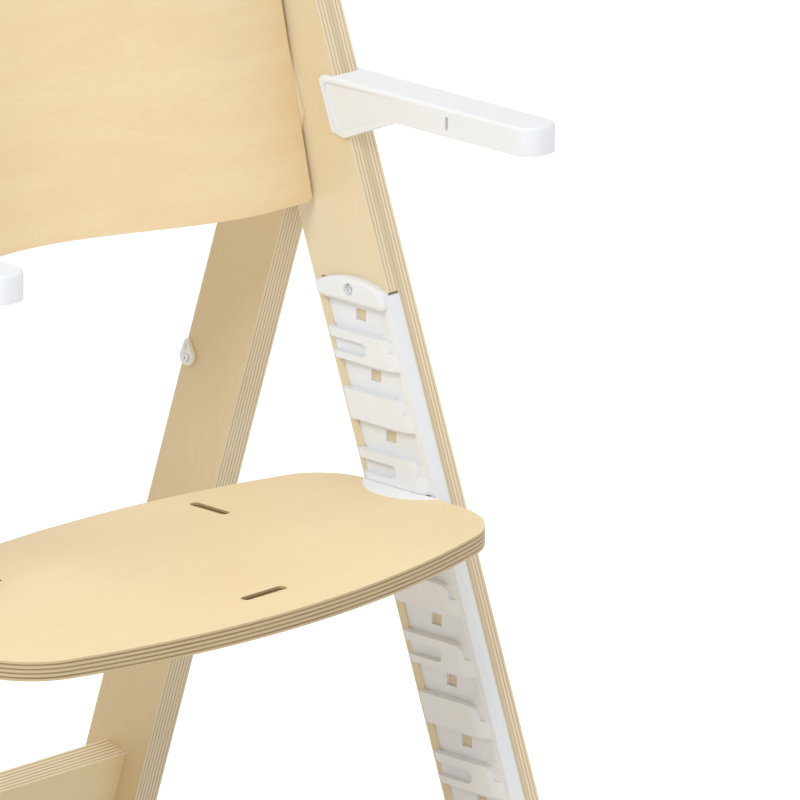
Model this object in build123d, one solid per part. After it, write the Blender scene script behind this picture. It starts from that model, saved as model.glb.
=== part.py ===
"""Wooden A-frame baby high chair with a notched rail on each front leg.

Frame: millimetres, +Z up, the chair faces -Y, origin on the floor at the centre of the bounding box.
"right" is the +X side.  Each right-hand piece is modelled once and mirrored in the YZ plane.
"""
import os
from math import cos, radians, sin, tan

from build123d import *

# ---------------------------------------------------------------- driving dimensions
DEPTH = 555.0            # foot to foot, along Y
INNER = 213.2            # half the clear width between the legs
LEG_T = 21.0             # leg plywood
OUTER = INNER + LEG_T
GLIDE_H = 3.0            # plastic pads under the feet
DOWEL_Z = (662.0, 690.0)   # dowels in the butt joint between the legs
DOWEL_R, DOWEL_L = 4.0, 30.0

FRONT_TILT = 20.0        # front leg leans back from the vertical
FRONT_W = 60.0           # front leg width, square to its edges
REAR_TILT = 17.7         # rear leg leans forward
REAR_W = 50.0
LEG_TOP_Z = 800.0

SLOTS = 13               # seat and footrest positions in each rail
SLOT_PITCH = 36.3
SLOT_H = 18.0
SLOT_0_Z = 571.0         # middle of the highest slot
SEAT_SLOT = 3
FOOT_SLOT = 10
U_TEETH = (1, 3, 6, 8, 10, 12)   # teeth with a finger recess open to the rear

TOOTH_OUT = 5.0          # teeth stand inboard of the leg's face
WALL_OUT = 2.0           # front wall stands inboard of the leg's face
FLOOR_IN = 1.5           # slot floor lies below the leg's face
BASE_T = 2.2             # rail base thickness behind the slot floor
RABBET = 9.0             # front wall's depth into the leg
WALL_T = 5.0             # front wall, along Y
RAIL_W = 54.0            # rail base width, square to the leg's edge
TOOTH_W = 55.0           # tooth reach, square to the leg's edge
TOOTH_ROUND = 8.0        # rounding of each tooth's upper front corner
HOLE_W, HOLE_H = 8.6, 7.4   # lock holes
HOLE_BACK = 32.0         # hole centre behind the leg's front edge, along Y
HOLE_UP = 1.4            # hole centre above the slot's middle
RAIL_TOP_Z = 590.0
RAIL_GAP = 1.6           # open joint above the rail in the leg's pocket
CAP_BOTTOM_Z = 580.5
CAP_OUT = 6.8            # cap stands inboard of the leg's face
CAP_SCREW = (589.5, 28.6)   # height, and distance behind the leg's front edge
RAMP_RUN = 15.0          # stop ramp at the front of each slot
RAMP_OUT = 3.2           # its lower corner stands inboard of the leg's face

PLATE_T = 12.0           # seat and footrest plywood
PLATE_HALF = 209.5
SHOE_H = 17.4            # plastic shoe fills a slot
SHOE_R = 36.0            # half-moon seen in the plate's top
SHOE_DEEP = 19.0
SHOE_FLANGE_R = 44.0
TONGUE_X = 212.9         # tongue passes the leg's face when the plate is drawn out
SHOE_SCREW_R, SHOE_SCREW_L = 1.6, 12.0
LOCK_TRAVEL = 4.0        # the peg stops inside the rail base
PEG = 6.8                # square peg of the lock
SEAT_FRONT, SEAT_REAR = -97.5, 122.5   # from the front leg's edge at the plate's top, along Y
FOOT_FRONT, FOOT_REAR = -76.0, 112.0

BACK_T = 9.0             # backrest bent plywood
BACK_TILT = 12.7
BACK_HALF = 210.0
BACK_BOTTOM_Z = 638.6
BACK_TOP_Z = 815.0
BACK_END_Y = -1.5        # front face near the legs, at the bottom edge
BACK_SWEEP = 48.0        # centre set back from the ends
BACK_FLAT = 180.0        # half width of the swept part
BACK_SCREW_Z = (710.0, 746.0)
BACK_SCREW_R = 2.0
LIP_BACK = 34.8          # bracket lip behind the front leg's front edge, along Y
BRACKET_Z = (681.0, 772.0)
BRACKET_BACK = 55.0      # bracket's rear face behind the front leg's front edge, along Y
BRACKET_SCREW_Z = (729.0, 764.0)
BRACKET_SCREW_R, BRACKET_SCREW_L = 2.5, 36.0
BRACKET_IN = 190.0       # inner face of the bracket's block

ARM_TOP_Z = 720.4
ARM_H = 18.0
ARM_IN = 209.3
ARM_OUT = 239.3
ARM_TIP_Y = -186.2
ARM_FOOT_Z = 684.0       # bottom of the armrest's bracket
ARM_GRIP = 10.0          # bracket overlap on the leg, square to its edge
ARM_SCREW_Z = (694.0, 711.0)
ARM_SCREW_R, ARM_SCREW_L = 2.0, 20.0

BAR_T = 18.0             # rear crossbar board
BAR_H = 90.0
BAR_TOP_Z = 241.0
BAR_BACK = 16.4          # crossbar face behind the rear leg's front edge
BOLT_DOWN = (22.0, 68.0)   # bolts below the crossbar's top edge
BOLT_R, BOLT_L = 3.0, 60.0
NUT_R, NUT_L, NUT_IN = 5.0, 14.0, 30.0   # barrel nuts, and their distance from the bar's end

BUTTON_Z = 514.8         # small plastic button on the rear leg
BUTTON_R = 5.8
BUTTON_T = 3.5
BUTTON_SCREW_R, BUTTON_SCREW_L = 1.6, 14.0

TAN_F, TAN_R = tan(radians(FRONT_TILT)), tan(radians(REAR_TILT))
FRONT_RUN = FRONT_W / cos(radians(FRONT_TILT))   # leg widths measured along Y
REAR_RUN = REAR_W / cos(radians(REAR_TILT))
RAIL_RUN = RAIL_W / cos(radians(FRONT_TILT))
RAIL_BOTTOM_Z = SLOT_0_Z - (SLOTS - 1) * SLOT_PITCH - SLOT_H / 2 - 14.0


# ---------------------------------------------------------------- helpers
def front_y(z, back=0.0):
    """Y of the front leg's front edge at height z, plus a distance behind it along Y."""
    return -DEPTH / 2 + (z - GLIDE_H) * TAN_F + back


def rear_y(z, back=0.0):
    """Y of the rear leg's front edge at height z, plus a distance behind it along Y."""
    return DEPTH / 2 - REAR_RUN - (z - GLIDE_H) * TAN_R + back


def slot_z(i):
    return SLOT_0_Z - i * SLOT_PITCH


def side_poly(points, x0, x1):
    """Prism of a YZ outline between two X positions."""
    wire = Polyline(*[(0, y, z) for y, z in points], close=True)
    return Pos(x0, 0, 0) * extrude(make_face(wire), amount=x1 - x0, dir=(1, 0, 0))


def plan_poly(points, z0, z1):
    """Prism of an XY outline between two heights."""
    wire = Polyline(*[(x, y, 0) for x, y in points], close=True)
    return Pos(0, 0, z0) * extrude(make_face(wire), amount=z1 - z0, dir=(0, 0, 1))


def box(x0, x1, y0, y1, z0, z1):
    return Pos((x0 + x1) / 2, (y0 + y1) / 2, (z0 + z1) / 2) * Box(x1 - x0, y1 - y0, z1 - z0)


def rod(start, direction, length, radius):
    """Cylinder from a start point along a direction."""
    return Plane(origin=start, z_dir=direction) * Cylinder(
        radius, length, align=(Align.CENTER, Align.CENTER, Align.MIN))


def screw(start, direction, length, radius, head_r, head_h):
    """Round-headed screw with a cross recess; the head stands above the start point."""
    foot = (Align.CENTER, Align.CENTER, Align.MIN)
    plane = Plane(origin=start, z_dir=direction)
    shank = Cylinder(radius, length, align=foot)
    head = Pos(0, 0, -head_h) * Cylinder(head_r, head_h, align=foot)
    head = fillet(head.edges().sort_by(Axis.Z)[0], head_h * 0.55)
    cross = Box(head_r * 1.1, head_r * 0.28, head_h) + Box(head_r * 0.28, head_r * 1.1, head_h)
    return plane * (shank + head - Pos(0, 0, -head_h) * cross)


def mirrored(shape):
    return mirror(shape, Plane.YZ)


def band(z0, z1, back0, back1, x0, x1):
    """Slab that follows the front leg's slope, given distances behind its front edge along Y."""
    return side_poly([(front_y(z0, back0), z0), (front_y(z0, back1), z0),
                      (front_y(z1, back1), z1), (front_y(z1, back0), z1)], x0, x1)


# ---------------------------------------------------------------- legs and feet
def front_leg():
    top = LEG_TOP_Z
    drop = FRONT_W * sin(radians(FRONT_TILT))
    pts = [(front_y(GLIDE_H), GLIDE_H), (front_y(GLIDE_H, FRONT_RUN), GLIDE_H),
           (front_y(top - drop, FRONT_RUN), top - drop), (front_y(top), top)]
    leg = side_poly(pts, INNER, OUTER)
    high = leg.edges().filter_by(Axis.X).sort_by(Axis.Z)[-2:]
    leg = fillet(high, 16.0)
    top = RAIL_TOP_Z + RAIL_GAP
    leg -= band(RAIL_BOTTOM_Z, top, -2, RAIL_RUN, INNER - 1, INNER + FLOOR_IN + BASE_T)
    leg -= band(RAIL_BOTTOM_Z, top, -2, WALL_T, INNER - 1, INNER + RABBET)
    return leg


def rear_leg():
    meet = (DEPTH - REAR_RUN - FRONT_RUN) / (TAN_F + TAN_R) + GLIDE_H
    tip = (DEPTH - FRONT_RUN) / (TAN_F + TAN_R) + GLIDE_H
    pts = [(rear_y(GLIDE_H), GLIDE_H), (rear_y(GLIDE_H, REAR_RUN), GLIDE_H),
           (rear_y(tip - 14, REAR_RUN), tip - 14), (front_y(tip - 14, FRONT_RUN), tip - 14),
           (rear_y(meet), meet)]
    return side_poly(pts, INNER, OUTER)


def leg_dowels():
    """Wooden dowels square to the butt joint between the legs."""
    rods = []
    for z in DOWEL_Z:
        start = (INNER + LEG_T / 2, front_y(z, FRONT_RUN), z)
        across = (0, cos(radians(FRONT_TILT)), -sin(radians(FRONT_TILT)))
        rods.append(Plane(origin=start, z_dir=across) * Cylinder(DOWEL_R, DOWEL_L))
    return rods


def glide(edge_y, run):
    """Pad under a foot that starts at edge_y and is run long."""
    pad = box(INNER + 3, OUTER - 3, edge_y + 5, edge_y + run - 5, 0.0, GLIDE_H)
    return fillet(pad.edges().filter_by(Axis.Z), 6.0)


# ---------------------------------------------------------------- notched rail
def tooth(z0, z1, recessed):
    """One tooth: its front corner rounds down to the front wall."""
    face, wall, floor = INNER - TOOTH_OUT, INNER - WALL_OUT, INNER + FLOOR_IN
    start = front_y(z0, WALL_T - 1)
    back = front_y(z0, TOOTH_W / cos(radians(FRONT_TILT)))
    full = front_y(z0, 15.0)
    square = [(face, full), (face, back - 2), (face + 1.2, back), (INNER, back), (INNER, back - 3.0),
              (floor, back - 3.0), (floor, start), (wall, start)]
    outline = [Line(a, b) for a, b in zip(square, square[1:])]
    outline.append(ThreePointArc((wall, start), (face + 1.0, front_y(z0, 9.0)), (face, full)))
    section = make_face(Wire(outline))
    slope = (0, sin(radians(FRONT_TILT)), cos(radians(FRONT_TILT)))
    solid = Pos(0, 0, z0) * extrude(section, amount=(z1 - z0) / cos(radians(FRONT_TILT)), dir=slope)
    r = TOOTH_ROUND
    y_round = front_y(z1, 7.0)
    corner = box(face - 1, wall, y_round - 20, y_round + r, z1 - r, z1 + 1)
    solid -= corner - rod((face - 2, y_round + r, z1 - r), (1, 0, 0), 10.0, r)
    if recessed:
        mid, half = (z0 + z1) / 2 - 0.6, 4.3
        y_end = front_y(mid, 32.5)
        solid -= box(face - 1, INNER - 0.4, y_end, y_end + 60, mid - half, mid + half)
        solid -= rod((face - 1, y_end, mid), (1, 0, 0), TOOTH_OUT + 0.6, half)
    return solid


def ramp(i):
    """Three-sided stop ramp where a slot ends at the front wall, broad at the bottom."""
    z0, z1 = slot_z(i) - SLOT_H / 2, slot_z(i) + SLOT_H / 2
    floor, wall = INNER + FLOOR_IN, INNER - RAMP_OUT
    a = (floor, front_y(z1, WALL_T), z1)
    b = (floor, front_y(z0, WALL_T), z0)
    c = (floor, front_y(z0, WALL_T + RAMP_RUN), z0)
    d = (wall, front_y(z0, WALL_T), z0)
    sides = ((a, b, c), (a, b, d), (b, c, d), (a, c, d))
    return Solid(Shell([make_face(Polyline(*side, close=True)) for side in sides]))


def rail_cap():
    """Crowned bar that closes the top of the rail."""
    y0, y1 = front_y(CAP_BOTTOM_Z, 0.5), front_y(CAP_BOTTOM_Z, 59.5)
    z0, z1 = CAP_BOTTOM_Z, CAP_BOTTOM_Z + 16.5
    square = [(0, y0 + 3.5, z0 + 11.5), (0, y0 + 1, z0), (0, y1, z0), (0, y1 + 2.5, z0 + 9)]
    outline = [Line(a, b) for a, b in zip(square, square[1:])]
    outline.append(ThreePointArc(square[-1], (0, (y0 + y1) / 2 + 4, z1), square[0]))
    bar = Pos(INNER - CAP_OUT, 0, 0) * extrude(make_face(Wire(outline)), amount=CAP_OUT, dir=(1, 0, 0))
    bar = fillet(bar.edges().filter_by(Axis.X), 3.6)
    bar = fillet(bar.faces().sort_by(Axis.X)[0].edges(), 3.2)
    key = band(CAP_BOTTOM_Z, RAIL_TOP_Z, 0, RAIL_RUN, INNER, INNER + FLOOR_IN + BASE_T)
    return bar + key


def cap_screw_point():
    z, back = CAP_SCREW
    return front_y(z, back), z


def rail():
    body = band(RAIL_BOTTOM_Z, RAIL_TOP_Z, 0, RAIL_RUN, INNER + FLOOR_IN, INNER + FLOOR_IN + BASE_T)
    wall = band(RAIL_BOTTOM_Z, RAIL_TOP_Z, 0, WALL_T, INNER - WALL_OUT, INNER + RABBET)
    body += wall
    for i in range(SLOTS):
        body += ramp(i)
        z_top = slot_z(i) - SLOT_H / 2
        if i < SLOTS - 1:
            body += tooth(slot_z(i + 1) + SLOT_H / 2, z_top, i + 1 in U_TEETH)
        else:
            body += tooth(RAIL_BOTTOM_Z, z_top, False)
    body += rail_cap()
    for i in range(SLOTS):
        y, z = lock_y(i), lock_z(i)
        body -= box(INNER, INNER + 8, y - HOLE_W / 2, y + HOLE_W / 2, z - HOLE_H / 2, z + HOLE_H / 2)
    y, z = cap_screw_point()
    body -= rod((INNER - 10, y, z), (1, 0, 0), 8.5, 4.0) + rod((INNER - 10, y, z), (1, 0, 0), 20, 2.0)
    return body


def cap_screw():
    y, z = cap_screw_point()
    return screw((INNER - 1.5, y, z), (1, 0, 0), 15.5, 2.0, 3.8, 1.8)


# ---------------------------------------------------------------- seat and footrest
def plate(top_z, front, rear):
    """Plywood plate; Y values are distances behind the front leg's edge at the plate's top."""
    y = front_y(top_z)
    half = PLATE_HALF
    f, r = y + front, y + rear
    outline = [Line((half, y - 2), (half, y + 58)),
               ThreePointArc((half, y + 58), (half - 10, r - 38), (half - 26, r - 26)),
               ThreePointArc((half - 26, r - 26), (0, r), (26 - half, r - 26)),
               ThreePointArc((26 - half, r - 26), (10 - half, r - 38), (-half, y + 58)),
               Line((-half, y + 58), (-half, y - 2)),
               Line((-half, y - 2), (2 - half, f + 68)),
               ThreePointArc((2 - half, f + 68), (11.5 - half, f + 44), (36 - half, f + 26)),
               ThreePointArc((36 - half, f + 26), (0, f), (half - 36, f + 26)),
               ThreePointArc((half - 36, f + 26), (half - 11.5, f + 44), (half - 2, f + 68)),
               Line((half - 2, f + 68), (half, y - 2))]
    return Pos(0, 0, top_z - PLATE_T) * extrude(make_face(Wire(outline)), amount=PLATE_T, dir=(0, 0, 1))


def shoe_centre(top_z):
    """Middle of the half-moon, in plan."""
    return (PLATE_HALF - SHOE_DEEP + SHOE_R, front_y(top_z, 28.0))


def disc(centre, radius, z0, z1):
    return rod((centre[0], centre[1], z0), (0, 0, 1), z1 - z0, radius)


def lock_z(slot):
    return slot_z(slot) + HOLE_UP


def lock_y(slot):
    return front_y(slot_z(slot), HOLE_BACK)


def shoe_screw_points(top_z):
    cx, cy = shoe_centre(top_z)
    r = (SHOE_R + SHOE_FLANGE_R) / 2
    return [(cx - r * cos(radians(a)), cy + r * sin(radians(a))) for a in (-42, 42)]


def shoe(slot):
    """Plastic shoe: half-moon in the plate, flange under it, tongue that runs in a slot, lock channel."""
    top_z = slot_z(slot) + SHOE_H / 2
    z0 = top_z - SHOE_H
    c = shoe_centre(top_z)
    y = front_y(top_z)
    inboard = box(150, PLATE_HALF, y - 60, y + 120, z0, top_z)
    body = disc(c, SHOE_R, z0, top_z) & inboard
    body += disc(c, SHOE_FLANGE_R, z0, top_z - PLATE_T) & inboard
    body += plan_poly([(PLATE_HALF, y + 6), (TONGUE_X, y + 17), (TONGUE_X, y + 59),
                       (PLATE_HALF, y + 59)], z0, top_z)
    ly, lz, h = lock_y(slot), lock_z(slot), PEG / 2 + 0.2
    body -= box(192.5, TONGUE_X + 1, ly - h, ly + h, lz - h, lz + h)
    body -= box(194.5, 200.5 + LOCK_TRAVEL, ly - 2.8, ly + 2.8, z0 - 1, lz)
    for px, py in shoe_screw_points(top_z):
        body -= rod((px, py, z0 - 1), (0, 0, 1), 20, SHOE_SCREW_R)
    return body


def plate_with_cuts(slot, front, rear, harness):
    """Plate with its shoe recesses and, in the seat, the harness slots."""
    top_z = slot_z(slot) + SHOE_H / 2
    z0 = top_z - PLATE_T
    y = front_y(top_z)
    solid = plate(top_z, front, rear)
    for side in (1, -1):
        c = shoe_centre(top_z)
        solid -= disc((side * c[0], c[1]), SHOE_R, z0 - 1, top_z + 1)
        for px, py in shoe_screw_points(top_z):
            solid -= rod((side * px, py, z0 - 1), (0, 0, 1), 8.5, SHOE_SCREW_R)
    if harness:
        slots = [(0, y - 61.5, 36, 7), (97, y + 82, 7, 31), (-97, y + 82, 7, 31)]
        for cx, cy, lx, ly in slots:
            cut = Box(lx, ly, 3 * PLATE_T)
            cut = fillet(cut.edges().filter_by(Axis.Z), 3.0)
            solid -= Pos(cx, cy, top_z) * cut
    return solid


def shoe_screws(slot):
    top_z = slot_z(slot) + SHOE_H / 2
    return [screw((px, py, top_z - SHOE_H), (0, 0, 1), SHOE_SCREW_L, SHOE_SCREW_R, 3.0, 1.4)
            for px, py in shoe_screw_points(top_z)]


def lock(slot):
    """Thumb slide whose square peg enters a rail hole."""
    ly, lz, h = lock_y(slot), lock_z(slot), PEG / 2
    low = slot_z(slot) - SHOE_H / 2 - 1
    peg = box(193.0, TONGUE_X - 0.3, ly - h, ly + h, lz - h, lz + h)
    tab = box(195.0, 200.0, ly - 2.5, ly + 2.5, low - 6, lz)
    grip = box(193.5, 201.5, ly - 7, ly + 7, low - 6, low)
    grip = fillet(grip.edges().filter_by(Axis.Z), 1.5)
    return peg + tab + grip


# ---------------------------------------------------------------- backrest
def back_front_y(z):
    return BACK_END_Y + (z - BACK_BOTTOM_Z) * tan(radians(BACK_TILT))


def back_curve(offset, samples=12):
    """Half-cosine sweep in plan, flat where it meets the brackets."""
    pts = []
    for x in [BACK_FLAT * i / samples for i in range(-samples, samples + 1)]:
        lift = BACK_SWEEP * (1 + cos(radians(180 * x / BACK_FLAT))) / 2
        slope = -BACK_SWEEP * sin(radians(180 * x / BACK_FLAT)) * radians(180) / BACK_FLAT / 2
        n = (1 + slope * slope) ** 0.5
        pts.append((x - slope / n * offset, BACK_END_Y + lift + offset / n))
    y_end = BACK_END_Y + offset
    left = [(-BACK_HALF, y_end), (-BACK_HALF + 15, y_end)]
    return left + pts + [(-x, y) for x, y in reversed(left)]


def backrest():
    front, rear = back_curve(0.0), back_curve(BACK_T)
    outline = [Spline(*front, tangents=((1, 0), (1, 0))), Line(front[-1], rear[-1]),
               Spline(*rear[::-1], tangents=((-1, 0), (-1, 0))), Line(rear[0], front[0])]
    length = (BACK_TOP_Z - BACK_BOTTOM_Z) / cos(radians(BACK_TILT))
    slope = (0, sin(radians(BACK_TILT)), cos(radians(BACK_TILT)))
    board = Pos(0, 0, BACK_BOTTOM_Z) * extrude(make_face(Wire(outline)), amount=length, dir=slope)
    mid = (BACK_TOP_Z + BACK_BOTTOM_Z) / 2
    window = Pos(0, 0, mid) * Box(2 * BACK_HALF, 400, BACK_TOP_Z - BACK_BOTTOM_Z)
    upright = window.edges().filter_by(Axis.Y)
    window = fillet(upright.sort_by(Axis.Z)[:2], 4.0)
    window = fillet(window.edges().filter_by(Axis.Y).sort_by(Axis.Z)[-2:], 38.0)
    return board & window


def bracket_screw_points():
    return [(front_y(z, BRACKET_BACK - 5.0), z) for z in BRACKET_SCREW_Z]


def backrest_bracket():
    """Wooden block behind the backrest's end, with a thin lip along the leg."""
    z0, z1 = BRACKET_Z
    lip_x, seat = BACK_HALF + 0.2, BACK_T + 0.02   # small gaps round the board
    rear = [(front_y(z0, BRACKET_BACK), z0), (front_y(z1, BRACKET_BACK), z1)]
    lip = side_poly([(front_y(z0 + 10, LIP_BACK), z0 + 10), (front_y(z0, LIP_BACK + 7), z0)]
                    + rear + [(front_y(z1, LIP_BACK), z1)], lip_x, INNER)
    block = side_poly([(back_front_y(z0) + seat, z0)] + rear + [(back_front_y(z1) + seat, z1)],
                      BRACKET_IN, lip_x)
    body = lip + block
    for y, z in bracket_screw_points():
        body -= rod((BRACKET_IN - 5, y, z), (1, 0, 0), 60, BRACKET_SCREW_R)
    for z in BACK_SCREW_Z:
        body -= rod(*back_screw_axis(z), 60, BACK_SCREW_R)
    return body


def back_screw_axis(z):
    """Start on the block's rear face and direction into the backrest."""
    n = (0, -cos(radians(FRONT_TILT)), sin(radians(FRONT_TILT)))
    return (BRACKET_IN + 10.0, front_y(z, BRACKET_BACK), z), n


def backrest_screws():
    """Screws from behind, through the block and into the backrest."""
    parts = []
    for z in BACK_SCREW_Z:
        start, n = back_screw_axis(z)
        depth = front_y(z, BRACKET_BACK) - back_front_y(z) - BACK_T + 4.0
        parts.append(screw(start, n, depth * cos(radians(FRONT_TILT)), BACK_SCREW_R, 4.0, 2.0))
    return parts


def bracket_screws():
    return [screw((BRACKET_IN, y, z), (1, 0, 0), BRACKET_SCREW_L, BRACKET_SCREW_R, 4.6, 2.4)
            for y, z in bracket_screw_points()]


# ---------------------------------------------------------------- armrest
def arm_screw_points():
    return [(front_y(z, ARM_GRIP / 2 / cos(radians(FRONT_TILT))), z) for z in ARM_SCREW_Z]


def armrest():
    """Arm whose bracket straddles the leg's front edge and hides two screws on the outside."""
    grip = ARM_GRIP / cos(radians(FRONT_TILT))
    z_top, z_low = ARM_TOP_Z, ARM_TOP_Z - ARM_H
    pts = [(front_y(z_top - 3, grip), z_top - 3), (front_y(z_top, grip - 3), z_top),
           (ARM_TIP_Y, z_top), (ARM_TIP_Y, z_low), (-70.0, z_low),
           (front_y(ARM_FOOT_Z, 1.0), ARM_FOOT_Z), (front_y(ARM_FOOT_Z + 2.5, grip), ARM_FOOT_Z + 2.5)]
    arm = side_poly(pts, ARM_IN, ARM_OUT)
    arm = fillet(arm.edges().filter_by(Axis.X).sort_by(Axis.Z)[:2], 3.0)
    tip = arm.edges().filter_by(Axis.Z).sort_by(Axis.Y)[:2]
    arm = fillet(tip, 13.0)
    nose = arm.faces().sort_by(Axis.Z)[-1].edges().filter_by(lambda e: e.center().Y < -80)
    arm = fillet(nose, 2.5)
    arm -= band(ARM_FOOT_Z - 60, z_top + 40, 0.0, FRONT_RUN, INNER, OUTER)
    # panel sunk into the inner flange, fading out along the arm, and the small slot in the arm's side
    y_back, y_fade = front_y(z_top, grip), front_y(z_top, -62.0)
    sunk = plan_poly([(ARM_IN - 1, y_back), (ARM_IN + 2.2, y_back), (ARM_IN, y_fade), (ARM_IN - 1, y_fade)],
                     ARM_FOOT_Z - 5, z_top + 5)
    inset = [(front_y(z_top - 6.5, grip - 2.6), z_top - 6.5),
             (front_y(z_top - 3.6, grip - 5.0), z_top - 3.6),
             (y_fade, z_top - 2.6), (y_fade, z_low + 2.6), (-68.0, z_low + 1.6),
             (front_y(ARM_FOOT_Z + 4.2, 1.0), ARM_FOOT_Z + 4.2),
             (front_y(ARM_FOOT_Z + 5.6, grip - 2.6), ARM_FOOT_Z + 5.6)]
    arm -= sunk & side_poly(inset, ARM_IN - 2, ARM_IN + 4)
    arm -= box(ARM_IN - 1, ARM_IN + 3, -117.3, -114.9, z_low + 5.0, z_low + 11.5)
    for z in (z_low + 5.0, z_low + 11.5):
        arm -= rod((ARM_IN - 1, -116.1, z), (1, 0, 0), 4.0, 1.2)
    for y, z in arm_screw_points():
        arm -= rod((INNER + 5, y, z), (1, 0, 0), 60, ARM_SCREW_R)
    return arm


def armrest_screws():
    return [screw((ARM_OUT, y, z), (-1, 0, 0), ARM_SCREW_L, ARM_SCREW_R, 3.9, 1.8)
            for y, z in arm_screw_points()]


# ---------------------------------------------------------------- rear crossbar
def bar_point(along, across):
    """YZ point from the crossbar's front top corner, down the rear leg and square to it."""
    s, c = sin(radians(REAR_TILT)), cos(radians(REAR_TILT))
    y0, z0 = rear_y(BAR_TOP_Z, BAR_BACK / cos(radians(REAR_TILT))), BAR_TOP_Z
    return (y0 + along * s + across * c, z0 - along * c + across * s)


def rear_crossbar():
    pts = [bar_point(0, 0), bar_point(BAR_H, 0), bar_point(BAR_H, BAR_T), bar_point(0, BAR_T)]
    bar = side_poly(pts, -INNER, INNER)
    for part in bolt_shanks() + nut_solids():
        bar -= part
        bar -= mirrored(part)
    return bar


def bolt_points():
    return [bar_point(d, BAR_T / 2) for d in BOLT_DOWN]


def bolt_shanks():
    return [rod((OUTER, y, z), (-1, 0, 0), BOLT_L, BOLT_R) for y, z in bolt_points()]


def crossbar_bolts():
    return [screw((OUTER, y, z), (-1, 0, 0), BOLT_L, BOLT_R, 6.5, 2.6) for y, z in bolt_points()]


def nut_solids():
    """Barrel nuts across the board, open to its rear face."""
    s, c = sin(radians(REAR_TILT)), cos(radians(REAR_TILT))
    nuts = []
    for y, z in bolt_points():
        start = (INNER - NUT_IN, y + BAR_T / 2 * c, z + BAR_T / 2 * s)
        nuts.append(rod(start, (0, -c, -s), NUT_L, NUT_R))
    return nuts


def barrel_nuts():
    return [nut - bolt for nut, bolt in zip(nut_solids(), bolt_shanks())]


# ---------------------------------------------------------------- small plastic button on the rear leg
def button_y():
    return rear_y(BUTTON_Z, REAR_RUN) - 5.2


def side_button():
    """Teardrop with its point up, held by one screw."""
    y, z = button_y(), BUTTON_Z
    body = rod((INNER - BUTTON_T, y, z), (1, 0, 0), BUTTON_T, BUTTON_R)
    k = BUTTON_R * cos(radians(28))
    s = BUTTON_R * sin(radians(28))
    body += side_poly([(y - k, z + s), (y + k, z + s), (y + 1.3, z + 11.6), (y - 0.7, z + 11.6)],
                      INNER - BUTTON_T, INNER)
    body -= rod((INNER - 6, y, z), (1, 0, 0), 12, BUTTON_SCREW_R)
    return body


def side_button_screw():
    start = (INNER - BUTTON_T, button_y(), BUTTON_Z)
    return screw(start, (1, 0, 0), BUTTON_SCREW_L, BUTTON_SCREW_R, 2.7, 1.0)


# ---------------------------------------------------------------- assembly
def assembly():
    """Every sub-part by name, with the holes its fasteners need."""
    parts = {}
    right = {"front_leg": front_leg(), "rear_leg": rear_leg()}
    for tool in leg_dowels():
        right["front_leg"] -= tool
        right["rear_leg"] -= tool
    for tool in bolt_shanks():
        right["rear_leg"] -= tool
    for y, z in bracket_screw_points():
        right["front_leg"] -= rod((INNER - 1, y, z), (1, 0, 0), 13.8, BRACKET_SCREW_R)
    for y, z in arm_screw_points():
        right["front_leg"] -= rod((ARM_OUT, y, z), (-1, 0, 0), ARM_SCREW_L, ARM_SCREW_R)
    y, z = cap_screw_point()
    right["front_leg"] -= rod((INNER - 1, y, z), (1, 0, 0), 15.0, 2.0)
    start = (INNER - BUTTON_T, button_y(), BUTTON_Z)
    right["rear_leg"] -= rod(start, (1, 0, 0), BUTTON_SCREW_L, BUTTON_SCREW_R)
    right["rail"] = rail()
    right["backrest_bracket"] = backrest_bracket()
    right["armrest"] = armrest()
    right["side_button"] = side_button()
    for name, slot in (("seat", SEAT_SLOT), ("footrest", FOOT_SLOT)):
        right[name + "_insert"] = shoe(slot)
        right[name + "_lock"] = lock(slot)
    for name, shape in right.items():
        parts[name + "_right"] = shape
        parts[name + "_left"] = mirrored(shape)

    back = backrest()
    for s in backrest_screws():
        back = back - s - mirrored(s)
    parts["backrest"] = back
    parts["rear_crossbar"] = rear_crossbar()
    parts["seat_plate"] = plate_with_cuts(SEAT_SLOT, SEAT_FRONT, SEAT_REAR, True)
    parts["footrest_plate"] = plate_with_cuts(FOOT_SLOT, FOOT_FRONT, FOOT_REAR, False)

    both_sides = {"leg_dowels": leg_dowels(),
                  "front_glides": [glide(front_y(GLIDE_H), FRONT_RUN)],
                  "rear_glides": [glide(rear_y(GLIDE_H), REAR_RUN)],
                  "rail_screws": [cap_screw()], "backrest_screws": backrest_screws(),
                  "bracket_screws": bracket_screws(), "armrest_screws": armrest_screws(),
                  "crossbar_bolts": crossbar_bolts(), "crossbar_barrel_nuts": barrel_nuts(),
                  "side_button_screws": [side_button_screw()],
                  "seat_insert_screws": shoe_screws(SEAT_SLOT),
                  "footrest_insert_screws": shoe_screws(FOOT_SLOT)}
    for name, shapes in both_sides.items():
        parts[name] = Compound(children=[s for shape in shapes for s in (shape, mirrored(shape))])
    return parts


os.makedirs("parts", exist_ok=True)
for node, shape in assembly().items():
    export_step(shape, f"parts/{node}.step")
    print(node, len(shape.solids()), [round(v, 1) for v in shape.bounding_box().size])
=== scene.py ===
from math import cos, pi, radians, sin, tan

import bpy
from mathutils import Matrix, Vector


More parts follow.
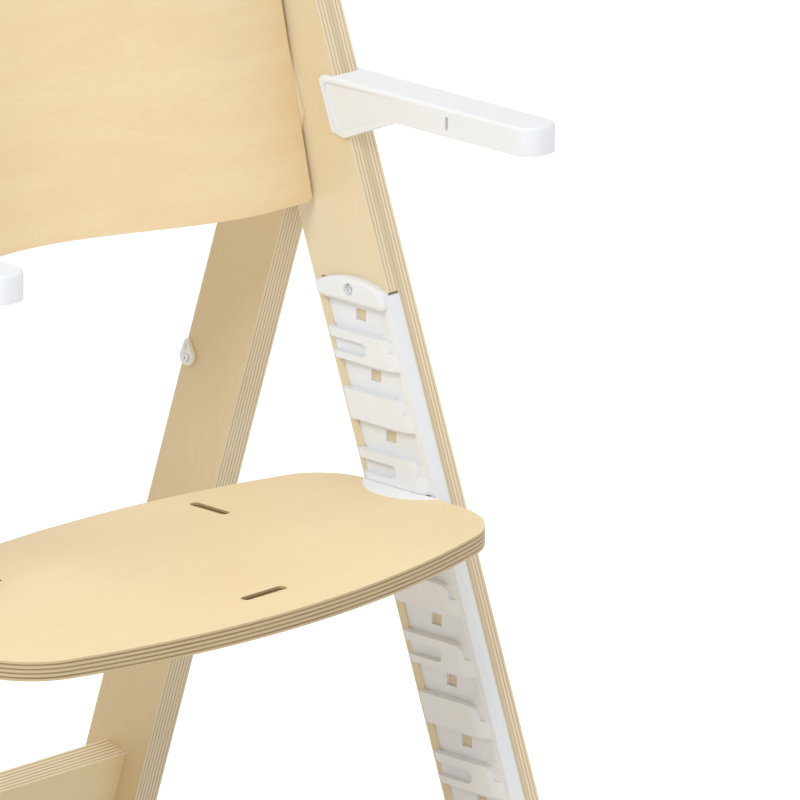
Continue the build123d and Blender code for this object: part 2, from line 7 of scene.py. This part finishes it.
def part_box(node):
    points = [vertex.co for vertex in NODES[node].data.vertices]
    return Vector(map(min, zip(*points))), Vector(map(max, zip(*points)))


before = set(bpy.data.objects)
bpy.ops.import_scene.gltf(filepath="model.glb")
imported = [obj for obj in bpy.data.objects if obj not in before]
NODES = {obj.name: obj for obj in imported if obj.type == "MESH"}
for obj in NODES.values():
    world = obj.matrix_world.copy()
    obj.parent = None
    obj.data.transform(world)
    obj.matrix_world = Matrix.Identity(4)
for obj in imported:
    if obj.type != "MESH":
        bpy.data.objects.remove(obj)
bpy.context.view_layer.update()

SIDES = (("right", 1.0), ("left", -1.0))
PLATES = {"seat": 12.0, "footrest": 15.0}   # and the seed of each one's grain

# ------------------------------------------------------------------ the chair's own numbers
# Metres and degrees.  Leans are from the vertical, positive towards the front.
FRONT_LEAN, REAR_LEAN = -20.0, 17.7
LEG_PLIES, PLATE_PLIES, BACK_PLIES, BAR_PLIES = 15, 9, 7, 13
BACK_END_Y = -0.0015                # backrest's front face near the legs, at its lower edge
BACK_TILT, BACK_SWEEP, BACK_FLAT, BACK_THICK = 12.7, 0.048, 0.180, 0.009
BAR_CORNER, BAR_THICK = (0.1663, 0.241), 0.018   # Y and Z of the crossbar's front top corner

LEG_LOW, LEG_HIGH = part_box("front_leg_right")
LEG_INNER, LEG_THICK = LEG_LOW[0], LEG_HIGH[0] - LEG_LOW[0]
BACK_BOTTOM_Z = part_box("backrest")[0][2]

# Veneers: main colour, paler figure.
LEG_WOOD = (0.745, 0.622, 0.415), (0.760, 0.645, 0.440)
SEAT_WOOD = (0.850, 0.672, 0.395), (0.870, 0.700, 0.430)
BACK_WOOD = (0.810, 0.630, 0.370), (0.835, 0.672, 0.420)
# Rear legs: the leg veneer darkened and warmed, painted shade from the backrest and seat
REAR_WOOD_SHADED = (0.708, 0.549, 0.311), (0.727, 0.572, 0.337)
BAR_WOOD = (0.930, 0.760, 0.460), (0.940, 0.780, 0.490)
PORE = (0.45, 0.30, 0.15)

# Plywood edges: long-grain plies, end-grain plies.
PLY_EDGE = (0.800, 0.680, 0.470), (0.440, 0.320, 0.175)
SEAT_EDGE = (0.560, 0.425, 0.235), (0.150, 0.095, 0.042)

WHITE = (0.815, 0.833, 0.856)
# Inserts: the white plastic made paler, painted light on their lit top faces
SHOE_WHITE_LIT = (0.925, 0.930, 0.935)
CREAM = (0.84, 0.81, 0.75)
PAD_GREY = (0.42, 0.42, 0.42)
ZINC = (0.62, 0.62, 0.61)
BRIGHT_ZINC = (0.80, 0.80, 0.79)


# ------------------------------------------------------------------ node helpers
class Graph:
    """Small helper for building a material's node tree."""

    def __init__(self, name):
        self.mat = bpy.data.materials.new(name)
        self.mat.use_nodes = True
        self.tree = self.mat.node_tree
        self.tree.nodes.clear()
        self.out = self.tree.nodes.new("ShaderNodeOutputMaterial")
        self.bsdf = self.tree.nodes.new("ShaderNodeBsdfPrincipled")
        self.link(self.bsdf.outputs[0], self.out.inputs[0])

    def new(self, kind, **props):
        node = self.tree.nodes.new("ShaderNode" + kind)
        for key, value in props.items():
            setattr(node, key, value)
        return node

    def link(self, a, b):
        self.tree.links.new(a, b)

    def put(self, socket, value):
        """Links a socket to another one, or sets its value."""
        if isinstance(value, bpy.types.NodeSocket):
            self.link(value, socket)
        else:
            socket.default_value = value

    def math(self, op, a, b=0.0):
        node = self.new("Math", operation=op)
        for socket, value in zip(node.inputs, (a, b)):
            self.put(socket, value)
        return node.outputs[0]

    def mix(self, factor, a, b):
        node = self.new("Mix", data_type="RGBA")
        self.put(node.inputs[0], factor)
        for socket, value in ((node.inputs[6], a), (node.inputs[7], b)):
            if isinstance(value, tuple):
                value = value + (1.0,)
            self.put(socket, value)
        return node.outputs[2]

    def step(self, value, low, high):
        node = self.new("MapRange", interpolation_type="SMOOTHSTEP")
        self.put(node.inputs[0], value)
        node.inputs[1].default_value = low
        node.inputs[2].default_value = high
        return node.outputs[0]

    def texture_space(self, which):
        """A texture coordinate, and its X, Y and Z."""
        split = self.new("SeparateXYZ")
        vector = self.new("TexCoord").outputs[which]
        self.link(vector, split.inputs[0])
        return vector, split.outputs

    def scaled(self, vector, scale, rotation=(0, 0, 0)):
        node = self.new("Mapping", vector_type="POINT")
        self.link(vector, node.inputs[0])
        node.inputs["Rotation"].default_value = rotation
        node.inputs["Scale"].default_value = scale
        return node.outputs[0]

    def noise(self, vector, scale, detail=3.0, rough=0.5):
        node = self.new("TexNoise")
        self.link(vector, node.inputs["Vector"])
        node.inputs["Scale"].default_value = scale
        node.inputs["Detail"].default_value = detail
        node.inputs["Roughness"].default_value = rough
        return node.outputs[0]

    def bump(self, height, strength, distance):
        node = self.new("Bump")
        self.link(height, node.inputs["Height"])
        node.inputs["Strength"].default_value = strength
        node.inputs["Distance"].default_value = distance
        self.link(node.outputs[0], self.bsdf.inputs["Normal"])


# ------------------------------------------------------------------ wood
def grain(g, vector, scale, rotation=(0, 0, 0), wood=LEG_WOOD, seed=0.0, contrast=1.0):
    """Pale birch veneer: slow figure, fine fibres and a few short pores along the grain."""
    tint, pale = wood
    shifted = g.new("VectorMath", operation="ADD")
    g.link(g.scaled(vector, scale, rotation), shifted.inputs[0])
    shifted.inputs[1].default_value = (seed, seed * 1.7, seed * 2.3)
    v = shifted.outputs[0]
    figure = g.noise(v, 1.0, 4.0, 0.55)
    fibre = g.noise(v, 9.0, 5.0, 0.6)
    pores = g.noise(v, 22.0, 2.0, 0.5)
    warm = tuple(c * k for c, k in zip(tint, (0.95, 0.90, 0.82)))
    base = g.mix(g.math("MULTIPLY", g.step(figure, 0.30, 0.72), contrast), pale, tint)
    base = g.mix(g.math("MULTIPLY", g.step(fibre, 0.35, 0.75), 0.30 * contrast), base, warm)
    dark = g.math("MULTIPLY", g.step(pores, 0.66, 0.80), 0.20 * contrast)
    return g.mix(dark, base, PORE), fibre


def ply_edge(g, t, plies, vector, along, tones=PLY_EDGE, core=0.0, strength=1.0):
    """Plywood edge: alternate long-grain and end-grain plies, t running 0..1 through the board."""
    light, end_grain = tones
    waver = g.noise(g.scaled(vector, along), 1.0, 3.0)
    t = g.math("ADD", t, g.math("MULTIPLY", g.math("SUBTRACT", waver, 0.5), 0.016))
    wave = g.math("SINE", g.math("MULTIPLY", t, pi * plies))
    dark = g.step(g.math("MULTIPLY", wave, -1.0), -0.05, 0.70)
    streak = g.noise(g.scaled(vector, tuple(2.2 * s for s in along)), 2.0, 4.0, 0.6)
    dark = g.math("MULTIPLY", dark, g.math("ADD", 0.35, g.math("MULTIPLY", streak, 0.75)))
    if core:
        middle = g.math("ABSOLUTE", g.math("SUBTRACT", t, 0.5))
        middle = g.math("SUBTRACT", 1.0, g.step(middle, core * 0.8, core * 1.15))
        dark = g.math("MAXIMUM", dark, g.math("MULTIPLY", middle, 0.42))
    pale = g.mix(streak, light, tuple(min(1.0, 1.07 * c) for c in light))
    return g.mix(g.math("MULTIPLY", dark, strength), pale, end_grain)


def facing(g, component):
    """1 where the board's own face looks along the component, 0 on its edges."""
    return g.step(g.math("ABSOLUTE", component), 0.60, 0.80)


def finish_wood(g, colour, fibre):
    """Thin satin lacquer over the wood."""
    g.link(colour, g.bsdf.inputs["Base Color"])
    rough = g.math("ADD", 0.42, g.math("MULTIPLY", fibre, 0.10))
    g.link(rough, g.bsdf.inputs["Roughness"])
    g.bsdf.inputs["Specular IOR Level"].default_value = 0.35
    g.bsdf.inputs["Coat Weight"].default_value = 0.06
    g.bsdf.inputs["Coat Roughness"].default_value = 0.35
    g.bump(fibre, 0.12, 0.0004)
    return g.mat


def leg_material(name, side, lean, wood=LEG_WOOD, seed=0.0, core=0.0):
    """Leg plywood: plies run through X, grain runs along the leg."""
    g = Graph(name)
    vec, xyz = g.texture_space("Object")
    _, nrm = g.texture_space("Normal")
    t = g.math("DIVIDE", g.math("SUBTRACT", g.math("MULTIPLY", xyz[0], side), LEG_INNER), LEG_THICK)
    face, fibre = grain(g, vec, (60.0, 55.0, 4.5), (radians(lean), 0, 0), wood, seed, contrast=0.8)
    edge = ply_edge(g, t, LEG_PLIES, vec, (150.0, 8.0, 8.0), core=core, strength=0.85)
    return finish_wood(g, g.mix(facing(g, nrm[0]), edge, face), fibre)


def plate_material(name, low, high, seed):
    """Seat or footrest plywood: plies run through Z, grain runs from side to side."""
    g = Graph(name)
    vec, xyz = g.texture_space("Object")
    _, nrm = g.texture_space("Normal")
    t = g.math("DIVIDE", g.math("SUBTRACT", xyz[2], low), high - low)
    face, fibre = grain(g, vec, (4.0, 60.0, 60.0), wood=SEAT_WOOD, seed=seed, contrast=0.55)
    edge = ply_edge(g, t, PLATE_PLIES, vec, (6.0, 6.0, 160.0), SEAT_EDGE)
    return finish_wood(g, g.mix(facing(g, nrm[2]), edge, face), fibre)


def backrest_material(name):
    """Bent plywood: plies follow the swept front face, whose lacquer shows fine cross ripples."""
    g = Graph(name)
    vec, xyz = g.texture_space("Object")
    _, nrm = g.texture_space("Normal")
    u = g.math("MINIMUM", g.math("ABSOLUTE", xyz[0]), BACK_FLAT)
    sweep = g.math("ADD", 1.0, g.math("COSINE", g.math("MULTIPLY", u, pi / BACK_FLAT)))
    lift = g.math("MULTIPLY", sweep, BACK_SWEEP / 2)
    lean = g.math("MULTIPLY", g.math("SUBTRACT", xyz[2], BACK_BOTTOM_Z), tan(radians(BACK_TILT)))
    t = g.math("SUBTRACT", g.math("SUBTRACT", xyz[1], g.math("ADD", lift, lean)), BACK_END_Y)
    t = g.math("DIVIDE", t, BACK_THICK)
    face, fibre = grain(g, vec, (4.0, 40.0, 60.0), wood=BACK_WOOD, seed=7.3)
    ripple = g.noise(g.scaled(vec, (26.0, 40.0, 330.0)), 1.0, 2.0, 0.4)
    patch = g.step(g.noise(vec, 9.0, 2.0), 0.42, 0.62)
    fibre = g.math("ADD", fibre, g.math("MULTIPLY", g.math("MULTIPLY", ripple, patch), 2.2))
    edge = ply_edge(g, t, BACK_PLIES, vec, (6.0, 160.0, 6.0))
    ends = g.math("MAXIMUM", g.step(g.math("ABSOLUTE", nrm[0]), 0.70, 0.85), facing(g, nrm[2]))
    return finish_wood(g, g.mix(ends, face, edge), fibre)


def bar_material(name):
    """Crossbar plywood: plies run through the tilted board, grain runs from side to side."""
    g = Graph(name)
    vec, xyz = g.texture_space("Object")
    _, nrm = g.texture_space("Normal")
    s, c = sin(radians(REAR_LEAN)), cos(radians(REAR_LEAN))
    t = g.math("ADD", g.math("MULTIPLY", g.math("SUBTRACT", xyz[1], BAR_CORNER[0]), c),
               g.math("MULTIPLY", g.math("SUBTRACT", xyz[2], BAR_CORNER[1]), s))
    t = g.math("DIVIDE", t, BAR_THICK)
    face, fibre = grain(g, vec, (4.0, 50.0, 60.0), wood=BAR_WOOD, seed=3.1)
    edge = ply_edge(g, t, BAR_PLIES, vec, (6.0, 120.0, 40.0))
    across = g.math("ADD", g.math("MULTIPLY", nrm[1], c), g.math("MULTIPLY", nrm[2], s))
    return finish_wood(g, g.mix(facing(g, across), edge, face), fibre)


def solid_wood(name, seed):
    g = Graph(name)
    vec, _ = g.texture_space("Object")
    face, fibre = grain(g, vec, (30.0, 60.0, 5.0), seed=seed)
    return finish_wood(g, face, fibre)


# ------------------------------------------------------------------ plastic and steel
def plastic(name, colour, rough=0.38):
    """Moulded plastic: faint spark texture, slight unevenness in tone and gloss."""
    g = Graph(name)
    vec, _ = g.texture_space("Object")
    cloud = g.noise(vec, 18.0, 3.0)
    spark = g.noise(vec, 2600.0, 2.0)
    dim = tuple(0.965 * c for c in colour)
    g.link(g.mix(cloud, colour, dim), g.bsdf.inputs["Base Color"])
    g.link(g.math("ADD", rough - 0.04, g.math("MULTIPLY", cloud, 0.10)), g.bsdf.inputs["Roughness"])
    g.bsdf.inputs["Specular IOR Level"].default_value = 0.42
    g.bump(spark, 0.02, 0.0002)
    return g.mat


def steel(name, colour, rough):
    """Zinc-plated steel with fine brushing and a slightly uneven sheen."""
    g = Graph(name)
    vec, _ = g.texture_space("Object")
    brush = g.noise(g.scaled(vec, (300.0, 2600.0, 2600.0)), 1.0, 3.0)
    cloud = g.noise(vec, 240.0, 3.0)
    g.link(g.mix(cloud, colour, tuple(0.8 * c for c in colour)), g.bsdf.inputs["Base Color"])
    g.link(g.math("ADD", rough, g.math("MULTIPLY", brush, 0.18)), g.bsdf.inputs["Roughness"])
    g.bsdf.inputs["Metallic"].default_value = 1.0
    g.bump(brush, 0.08, 0.0001)
    return g.mat


# ------------------------------------------------------------------ finishes on the nodes
def dress(node, material, bevel=0.0, segments=2):
    """Gives a CAD node its finish, and softens its hard edges with modifiers."""
    obj = NODES[node]
    if obj.material_slots:
        for slot in obj.material_slots:
            slot.link = "OBJECT"
            slot.material = material
    else:
        obj.data.materials.append(material)
    weld = obj.modifiers.new("weld", "WELD")
    weld.merge_threshold = 0.000005
    if bevel:
        edge = obj.modifiers.new("edge", "BEVEL")
        edge.width = bevel
        edge.segments = segments
        edge.limit_method = "ANGLE"
        edge.angle_limit = radians(32.0)
        edge.use_clamp_overlap = True


white = plastic("white_plastic", WHITE)
# paler copy of the white plastic, painted light for the inserts
lit_shoe_white = plastic("shoe_plastic_lit", SHOE_WHITE_LIT)
cream = plastic("cream_plastic", CREAM, 0.42)
coated = plastic("white_coated_steel", WHITE, 0.34)
grey = plastic("grey_pad", PAD_GREY, 0.6)
zinc = steel("zinc_steel", ZINC, 0.30)
bright_zinc = steel("bright_zinc_steel", BRIGHT_ZINC, 0.34)

for n, side in SIDES:
    front_ply = leg_material(f"front_leg_ply_{n}", side, FRONT_LEAN, seed=side, core=0.10)
    # the rear legs' wood carries painted shade
    rear_shaded_ply = leg_material(f"rear_leg_shaded_ply_{n}", side, REAR_LEAN, REAR_WOOD_SHADED, seed=4 + side)
    dress(f"front_leg_{n}", front_ply, 0.0012, 3)
    dress(f"rear_leg_{n}", rear_shaded_ply, 0.0010, 3)
    dress(f"rail_{n}", white, 0.0007, 2)
    dress(f"armrest_{n}", white, 0.0009, 3)
    dress(f"backrest_bracket_{n}", solid_wood(f"bracket_wood_{n}", 9 + side), 0.0006, 2)
    dress(f"side_button_{n}", cream, 0.0007, 3)
    for plate in PLATES:
        dress(f"{plate}_insert_{n}", lit_shoe_white)   # a bevel would crease round the screws
        dress(f"{plate}_lock_{n}", white, 0.0004, 2)

for plate, seed in PLATES.items():
    low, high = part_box(f"{plate}_plate")
    dress(f"{plate}_plate", plate_material(f"{plate}_ply", low[2], high[2], seed), 0.0022, 4)

dress("backrest", backrest_material("backrest_ply"), 0.0018, 4)
dress("rear_crossbar", bar_material("crossbar_ply"), 0.0010, 3)
dress("leg_dowels", solid_wood("dowel_wood", 21.0))
dress("front_glides", grey, 0.0004)
dress("rear_glides", grey, 0.0004)
for n in ("backrest_screws", "bracket_screws", "armrest_screws", "crossbar_bolts",
          "crossbar_barrel_nuts", "seat_insert_screws", "footrest_insert_screws"):
    dress(n, zinc)
dress("side_button_screws", bright_zinc)
dress("rail_screws", coated)


# ------------------------------------------------------------------ floor
FLOOR_HALF = 14.0
NEAR_SHADE_TONE = (0.52, 0.52, 0.52)                              # painted shade under and round the chair
FAR_TONES = (0.90, 0.90, 0.90), (0.93, 0.93, 0.93)
NEAR_RADIUS, FAR_RADIUS = 0.45, 1.10
FAR_GLOW = 0.30                                             # lifts the far floor to white


def floor_paint_and_shade():
    """Pale floor with painted shade: darker close to the chair so that less light comes back up
    under it.
    """
    g = Graph("floor_paint_and_shade")
    vec, _ = g.texture_space("Object")
    radius = g.new("VectorMath", operation="LENGTH")
    g.link(vec, radius.inputs[0])
    # painted shade: darker and without glow near the chair, pale and glowing further out
    outside_shade = g.step(radius.outputs["Value"], NEAR_RADIUS, FAR_RADIUS)
    far = g.mix(g.noise(vec, 3.0), *FAR_TONES)
    g.link(g.mix(outside_shade, NEAR_SHADE_TONE, far), g.bsdf.inputs["Base Color"])
    g.bsdf.inputs["Roughness"].default_value = 0.9
    g.bsdf.inputs["Emission Color"].default_value = (1.0, 1.0, 1.0, 1.0)
    g.link(g.math("MULTIPLY", outside_shade, FAR_GLOW), g.bsdf.inputs["Emission Strength"])
    g.bsdf.inputs["Specular IOR Level"].default_value = 0.1
    return g.mat


corners = [(x * FLOOR_HALF, y * FLOOR_HALF, 0) for x, y in ((-1, -1), (1, -1), (1, 1), (-1, 1))]
floor_mesh = bpy.data.meshes.new("floor")
floor_mesh.from_pydata(corners, [], [(0, 1, 2, 3)])
floor_mesh.materials.append(floor_paint_and_shade())
floor = bpy.data.objects.new("floor", floor_mesh)
bpy.context.scene.collection.objects.link(floor)


# ------------------------------------------------------------------ light
world = bpy.data.worlds.new("studio")
bpy.context.scene.world = world
world.use_nodes = True
background = world.node_tree.nodes["Background"]
background.inputs[0].default_value = (1.0, 1.0, 1.0, 1.0)
background.inputs[1].default_value = 0.68


def area(name, position, target, size, power, colour=(1, 1, 1)):
    """Round soft light at a position, turned to a target."""
    light = bpy.data.lights.new(name, "AREA")
    light.shape = "DISK"
    light.size = size
    light.energy = power
    light.color = colour
    obj = bpy.data.objects.new(name, light)
    bpy.context.scene.collection.objects.link(obj)
    way = (Vector(target) - Vector(position)).normalized()
    turn = way.to_track_quat("-Z", "Y").to_matrix().to_4x4()
    obj.matrix_world = Matrix.Translation(position) @ turn


area("key", (-3.0, -0.9, 3.3), (0, 0, 0.5), 1.5, 60.0, (0.965, 0.985, 1.0))
area("front", (-1.0, -4.0, 1.6), (0, 0, 0.5), 2.4, 7.5)
area("over", (0.6, 0.4, 4.0), (0, 0, 0.4), 2.2, 29.0)


# ------------------------------------------------------------------ camera
# Long lens from the front left, a little above the seat.  The view is centred to the right of
# the aim point and just below it; PAN and DIP are the tangents of those two angles.
AZIMUTH, ELEVATION = radians(-44.83), radians(16.89)
DISTANCE = 8.793
AIM = Vector((0.150, 0.0404, 0.520))
PAN, DIP = 0.0143237, 0.00060237
SENSOR, LENS = 36.0, 642.465

right = Vector((cos(AZIMUTH), sin(AZIMUTH), 0.0))
ahead = Vector((-right.y * cos(ELEVATION), right.x * cos(ELEVATION), -sin(ELEVATION)))
up = right.cross(ahead)
place = AIM - ahead * DISTANCE
ahead = (ahead + right * PAN - up * DIP).normalized()
right = ahead.cross(up).normalized()
up = right.cross(ahead)

cam = bpy.data.cameras.new("camera")
cam.sensor_width = SENSOR
cam.lens = LENS
cam.clip_end = 100.0
camera = bpy.data.objects.new("camera", cam)
bpy.context.scene.collection.objects.link(camera)
camera.matrix_world = Matrix((
    (right.x, up.x, -ahead.x, place.x),
    (right.y, up.y, -ahead.y, place.y),
    (right.z, up.z, -ahead.z, place.z),
    (0, 0, 0, 1)))
bpy.context.scene.camera = camera
bpy.context.scene.view_settings.view_transform = "Standard"
bpy.context.scene.view_settings.look = "None"
